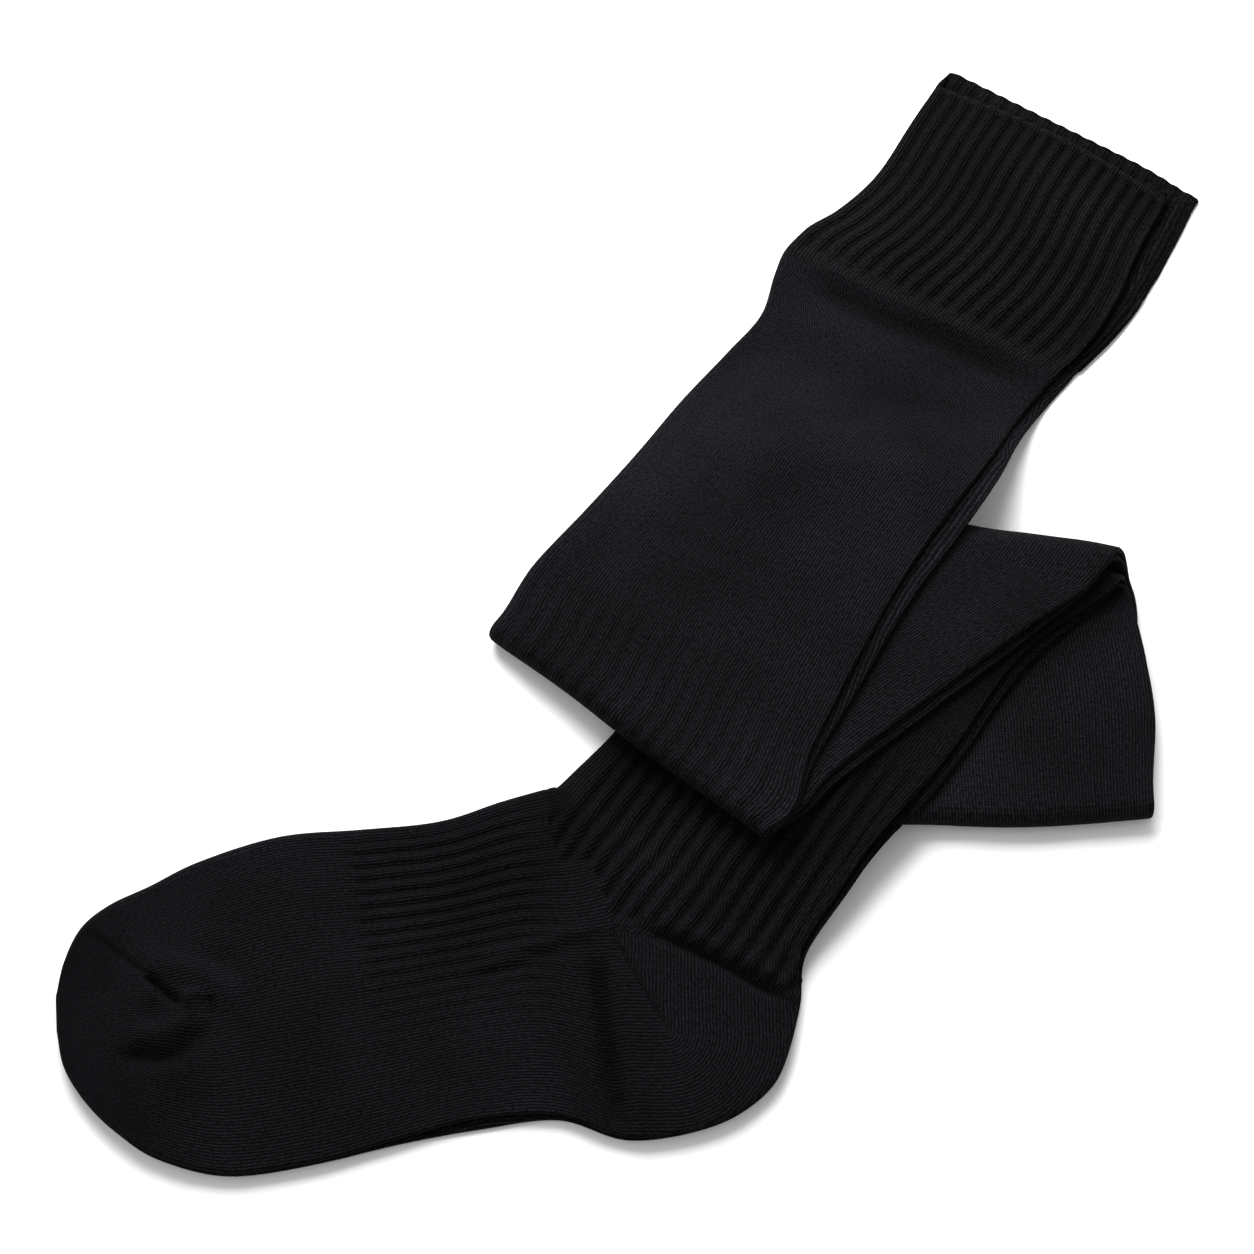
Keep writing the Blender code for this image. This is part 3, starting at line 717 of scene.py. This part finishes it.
def control_stations(first, last, row_step):
    """Cross lines between two control lines, about row_step apart midway to the sole's edge."""
    middle = 0.5 * (controls["left"] + controls["right"])
    far = np.linalg.norm(np.diff(0.5 * (middle + controls["right"]), axis=0), axis=1)
    places = []
    for k in range(first, last):
        count = max(3, round(far[k] / row_step))
        places += list(np.linspace(k, k + 1, count + 1)[:-1])
    places = np.array(places + [last], float)
    index = np.arange(len(controls["thick"]))
    stations = {"place": places}
    for key, value in controls.items():
        if value.ndim == 2:
            columns = [smooth_read(index, value[:, axis], places, False) for axis in range(2)]
            stations[key] = np.stack(columns, axis=-1)
        else:
            stations[key] = smooth_read(index, value, places)
    line = 0.5 * (stations["left"] + stations["right"])
    steps = np.linalg.norm(np.diff(line, axis=0), axis=1)
    total = np.linalg.norm(np.diff(middle[:first + 1], axis=0), axis=1).sum()
    stations["v"] = total + np.concatenate([[0.0], np.cumsum(steps)])
    return stations


# Creases and welts on the foot: a line on the sheet in millimetres, its reach and its height
foot_creases = [
    ([(-139.0, -141.0), (-126.2, -141.3), (-118.6, -141.8), (-113.0, -141.8)], 1.3, -1.2),
    ([(-115.0, -141.8), (-110.0, -142.2), (-106.7, -142.7), (-100.7, -143.1), (-98.9, -143.9)], 1.4, -3.2),
    ([(-99.3, -140.7), (-98.6, -138.9)], 2.0, 2.0),
    ([(-95.0, -136.0), (-93.0, -138.0), (-90.5, -141.0)], 1.4, -1.8),
    ([(-106.7, -167.0), (-101.1, -163.3), (-95.1, -159.9), (-91.7, -155.8), (-90.5, -147.6),
      (-92.7, -141.9)], 2.9, -2.6),
    ([(-107.0, -159.5), (-100.5, -155.0), (-97.0, -149.5), (-97.5, -145.0)], 3.2, 1.5),
    ([(-106.1, -149.0), (-105.4, -150.1)], 3.0, -1.5),
    ([(-127.0, -134.6), (-126.4, -142.1), (-124.0, -150.0), (-119.9, -156.6)], 3.6, -1.0),
    ([(-119.1, -137.6), (-110.5, -135.6), (-101.2, -132.1), (-92.3, -131.6), (-85.9, -137.6)], 3.8, 1.6),
    ([(-107.0, -127.0), (-97.0, -124.5), (-86.0, -126.5), (-79.0, -133.0)], 4.0, -0.9),
    ([(-8.3, -59.7), (-0.3, -69.3), (7.7, -78.7), (18.2, -89.9), (24.7, -96.4), (29.0, -102.6)], 2.8, -3.2),
    ([(-2.3, -55.7), (5.7, -65.3), (13.7, -74.7), (24.2, -85.9), (30.7, -92.4), (35.0, -98.6)], 2.6, 0.9),
    ([(-3.0, -46.6), (0.9, -46.4), (14.6, -44.4), (27.6, -42.3), (40.4, -41.1), (50.0, -39.6)], 2.1, -3.0),
    ([(2.9, -40.4), (15.6, -39.4), (28.6, -37.3), (41.4, -36.1), (49.0, -34.6)], 2.4, 0.9),
    ([(-36.0, -90.0), (-26.6, -78.8), (-17.4, -65.8), (-9.0, -56.5)], 2.0, -0.8),
    ([(-36.0, -84.0), (-27.6, -72.8), (-18.4, -60.8), (-9.0, -52.5)], 2.6, 0.8),
]
gore = [(-7.5, -53.4), (0.3, -56.9), (8.7, -61.3), (16.7, -65.2), (24.2, -69.3)]
foot_creases.append((gore, 0.9, -0.7))

toe_step = 0.0007
toe = control_stations(0, toe_end, toe_step)
zone("toe", toe, (even(130), even(40)), foot_height, foot_knit_shaded, foot_creases)

foot_step = 0.0016
foot = control_stations(toe_end, heel_start, foot_step)
instep_pitch = 4.9
instep_share = 0.78
instep_groove = 0.0009
instep_start = 6.75
instep_thins = 8.9


def instep_relief(flat, along, place):
    """Ribs on the instep, which start past the toe and fade toward the sole."""
    run = foot["place"][:, None]
    window = ease((run - instep_start) / 0.2) * (1 - 0.75 * ease((run - instep_thins) / 0.9))
    window = window * ease((place - 0.01) / 0.03)
    fade = np.clip(1.6 * (instep_share - place) / instep_share, 0, 1)
    return -instep_groove * window * fade * rib_valley(1000 * foot_height * place / instep_pitch)


zone("foot", foot, (even(200), even(90)), foot_height, foot_knit_shaded, foot_creases, relief=instep_relief)

# The heel's upper edge is a deep crease, and the ankle's ribs end on it
heel_edge = [(-24.0, -40.0), (-8.0, -51.0), (0.9, -46.4), (14.6, -44.4), (27.6, -42.3), (40.4, -41.1),
             (52.0, -39.0)]
ankle_pitch = 5.6
ankle_groove = 0.0013
first_rib = -46.0
heel_ribs_from = -12.0
gore_end = np.array(gore[-1])
instep_line = [(-60.0, -98.0), (-45.5, -96.1), (-35.0, -86.2), (-24.6, -69.8), (-9.5, -53.4), (40.0, -30.0)]


def ankle_relief(flat, along, place):
    """The ankle's ribs, which run straight up the leg from the heel's crease."""
    over = height_over(flat, heel_edge)
    window = ease((over - 1.0) / 3.0) * (1 - ease((flat[..., 1] - 22.0) / 24.0))
    window = window * ease((place - 0.04) / 0.05) * (place < 1.7)
    return -ankle_groove * window * rib_valley((flat[..., 0] - first_rib) / ankle_pitch)


def heel_yarn(flat, along, around):
    """The wales of the heel cup, which turn a corner on the gore and a curve beyond its end."""
    right = (flat - gore_end) @ unit(look_angle - 90)
    down = (flat - gore_end) @ unit(look_angle + 180)
    before = np.where(height_over(flat, gore) > 0, right, down)
    past = np.where(right < 0, down, np.hypot(np.maximum(right, 0), np.maximum(down, 0)))
    turned = np.where(down < 0, before, past)
    inside = (height_over(flat, heel_edge) < 0) & (height_over(flat, instep_line) < 0)
    ribbed = ~inside & (flat[..., 0] > heel_ribs_from) & (height_over(flat, heel_edge) > 0)
    across_yarn = np.where(inside, 0.001 * turned, np.where(ribbed, 0.001 * flat[..., 0], around))
    along_yarn = np.where(inside, 0.001 * (right - down), np.where(ribbed, 0.001 * flat[..., 1], along))
    return across_yarn, along_yarn


heel_step = 0.0008
heel = control_stations(heel_start, heel_end, heel_step)
zone("heel", heel, (even(180), even(60)), foot_height, foot_knit_shaded, foot_creases, relief=ankle_relief,
     yarn=heel_yarn)


# Ankle
# Ribbed knit that grips the ankle. Its ribs stand 5.6 mm apart, start at the heel's crease and
# fade into the plain leg under the folds.


# How dark the painted shade under the folds gets
fold_shade_strength = 0.6


def ankle_fold_shade(flat, along):
    """Painted shade on the ankle, deeper further up the leg, toward the folds above that keep the light off.
    """
    return fold_shade_strength * ease((flat[..., 1] + 25.0) / 35.0)


ankle_step = 0.0016
ankle = control_stations(heel_end, ankle_end, ankle_step)
zone("ankle", ankle, (even(136), even(60)), ankle_width, ribbed_knit, foot_creases,
     relief=ankle_relief, fold_shade=ankle_fold_shade)


# Calf
# The long plain leg between the ankle and the cuff. It makes all four folds, and each fold is cut
# finely enough to turn smoothly. Its top layer is creased below the cuff.

straight_step = 0.0022
curl_step = 0.0012
cuff_start = leg_length - cuff_length
top_start = folds[-1]["end"]


def leg_places(start, end):
    """Places along the leg: even on the straight, and close together on a fold."""
    stops = [start]
    for fold in folds:
        if start < fold["start"] < end:
            stops += [fold["start"], fold["end"]]
    stops.append(end)
    places = []
    for number, (a, b) in enumerate(zip(stops, stops[1:])):
        step = curl_step if number % 2 else straight_step
        count = max(8, round((b - a) / step))
        places += list(np.linspace(a, b, count + 1)[:-1])
    return np.array(places + [end])


# Creases and welts on the top layer, in the same way
leg_creases = [
    ([(-89.0, 175.0), (-85.0, 173.5), (-72.5, 171.5), (-60.6, 172.0), (-47.6, 173.4), (-35.5, 176.0),
      (-20.9, 177.0), (-9.6, 178.4), (4.0, 180.0)], 3.4, -2.7),
    ([(-87.0, 177.0), (-72.0, 174.5), (-60.1, 175.0), (-47.1, 176.4), (-35.0, 179.0), (-20.4, 180.0),
      (-9.1, 181.4)], 1.4, -1.0),
    ([(-90.7, 181.5), (-80.1, 179.6), (-66.6, 179.5), (-51.2, 180.8), (-36.1, 183.8), (-20.9, 185.1),
      (-7.9, 185.5), (4.1, 186.8)], 3.0, 1.1),
    ([(-78.0, 160.0), (-68.1, 159.0), (-47.5, 158.0), (-24.4, 158.5), (-6.8, 163.3)], 5.5, 1.2),
    ([(-77.0, 145.0), (-69.0, 145.4), (-50.4, 143.9), (-35.1, 146.3), (-13.8, 151.1),
      (-2.5, 152.7)], 5.0, -0.9),
    ([(-80.0, 62.0), (-75.0, 62.3), (-56.5, 63.0), (-38.9, 64.9), (-20.8, 65.6), (-8.6, 69.7)], 2.2, -0.5),
    ([(-60.0, 98.0), (-44.0, 102.0), (-30.0, 110.0), (-14.0, 122.0)], 7.0, 0.7),
    ([(-70.0, 118.0), (-52.0, 112.0), (-36.0, 96.0), (-20.0, 84.0)], 7.0, -0.6),
]
calf_ribs = 18
calf_groove = 0.0005
wave_height = 0.0014
wave_length = 0.021
rise_end = 0.125


def calf_relief(flat, along, place):
    """Faint ribs left by the ankle's grip on the front fold, on the upper wall."""
    near = ease((along - top_start + 0.012) / 0.008) * (1 - ease((along - top_start - 0.012) / 0.028))
    return -calf_groove * near * (place < 1) * rib_valley(calf_ribs * place)


def calf_yarn(flat, along, around):
    """Wales that waver where the knit is bunched below the cuff."""
    bunched = ease((along - cuff_start + 0.045) / 0.015) * (1 - ease((along - cuff_start + 0.008) / 0.008))
    wave = np.sin(2 * math.pi * along / wave_length + 40 * around)
    return around + wave_height * bunched * wave, along


def rise_fold_shade(flat, along):
    """Painted shade on the first run of the leg, which lies under the folds, as dark as on the ankle."""
    return fold_shade_strength * (along < rise_end)


calf = leg_stations(leg_places(ankle_rib_length, cuff_start))
zone("calf", calf, (even(102), even(36)), calf_width, leg_knit_lit, leg_creases, start=top_start,
     relief=calf_relief, yarn=calf_yarn, fold_shade=rise_fold_shade)


# Cuff
# Thick elastic ribs, seventeen across each wall, up to a rolled rim. The upper wall stops short of
# the lower one, so the mouth can be seen.

cuff_ribs = 17
rib_columns = 9
cuff_groove = 0.0012
hem_swell = 0.0007
hem_start = leg_length - 0.012
set_back_run = 0.024
cuff = leg_stations(np.concatenate([np.linspace(cuff_start, hem_start, 52)[:-1],
                                    np.linspace(hem_start, leg_length, 21)]))


def cuff_relief(flat, along, place):
    """Ribs along the cuff on both walls, which fade out at its lower end, and the rim's rolled hem."""
    window = ease((along - cuff_start - 0.001) / 0.008)
    from_rim = leg_length - along
    front = place < 1
    hem = np.exp(-((from_rim - 0.0014) / 0.0018) ** 2)
    level = 1 - hem * np.where(front, 0.6, 0.45)
    return -cuff_groove * window * level * rib_valley(cuff_ribs * place) + hem_swell * front * hem


set_back = rim_step * ease((cuff["v"][:, None] - leg_length + set_back_run) / set_back_run)
cuff_places = even(cuff_ribs * rib_columns + 1)
zone("cuff", cuff, (cuff_places, cuff_places), cuff_width, ribbed_knit, leg_creases, relief=cuff_relief,
     set_back=set_back, all_round=True)


# Floor, light and camera
# A plain white table, a large soft window beyond the sock, a weak fill at its left and a pale sky,
# seen down steeply through an 85 mm lens.

for thing in bpy.context.selected_objects:
    thing.select_set(False)
bpy.ops.mesh.primitive_plane_add(size=8, location=(0, 0, 0))
floor = bpy.context.object
floor.name = "table"
white = bpy.data.materials.new("white_table")
white.use_nodes = True
white.node_tree.nodes["Principled BSDF"].inputs["Base Color"].default_value = linear("#f4f4f4")
white.node_tree.nodes["Principled BSDF"].inputs["Roughness"].default_value = 0.7
white.node_tree.nodes["Principled BSDF"].inputs["Specular IOR Level"].default_value = 0.2
floor.data.materials.append(white)

elevation = 66.0
camera_distance = 0.936
target = Vector((sheet_origin.x - 0.0616, sheet_origin.y + 0.0353, 0.0))
away = Vector((math.cos(math.radians(look_angle)), math.sin(math.radians(look_angle)), 0.0))
eye = target + camera_distance * (Vector((0, 0, 1)) * math.sin(math.radians(elevation))
                                  - away * math.cos(math.radians(elevation)))
camera_data = bpy.data.cameras.new("camera")
camera_data.lens = 85
camera_data.sensor_width = 36
camera_data.clip_start = 0.05
camera = bpy.data.objects.new("camera", camera_data)
camera.location = eye
camera.rotation_euler = (target - eye).to_track_quat("-Z", "Y").to_euler()
bpy.context.scene.collection.objects.link(camera)
bpy.context.scene.camera = camera

# Each lamp's name, its angle on the table and height in degrees, distance, size and power
lamps = [
    ("window", 137, 47, 1.15, 0.75, 24.0),
    ("fill", 215, 50, 1.8, 1.4, 4.0),
]
for name, angle, height, distance, size, power in lamps:
    lamp_data = bpy.data.lights.new(name, "AREA")
    lamp_data.size = size
    lamp_data.energy = power
    lamp = bpy.data.objects.new(name, lamp_data)
    flat = Vector((math.cos(math.radians(angle)), math.sin(math.radians(angle)), 0.0))
    tall = math.radians(height)
    lamp.location = target + distance * (flat * math.cos(tall) + Vector((0, 0, 1)) * math.sin(tall))
    lamp.rotation_euler = (target - lamp.location).to_track_quat("-Z", "Y").to_euler()
    bpy.context.scene.collection.objects.link(lamp)

sky = bpy.data.worlds.new("sky")
sky.use_nodes = True
sky.node_tree.nodes["Background"].inputs["Color"].default_value = linear("#ffffff")
sky.node_tree.nodes["Background"].inputs["Strength"].default_value = 0.55
bpy.context.scene.world = sky
bpy.context.scene.view_settings.view_transform = "Standard"
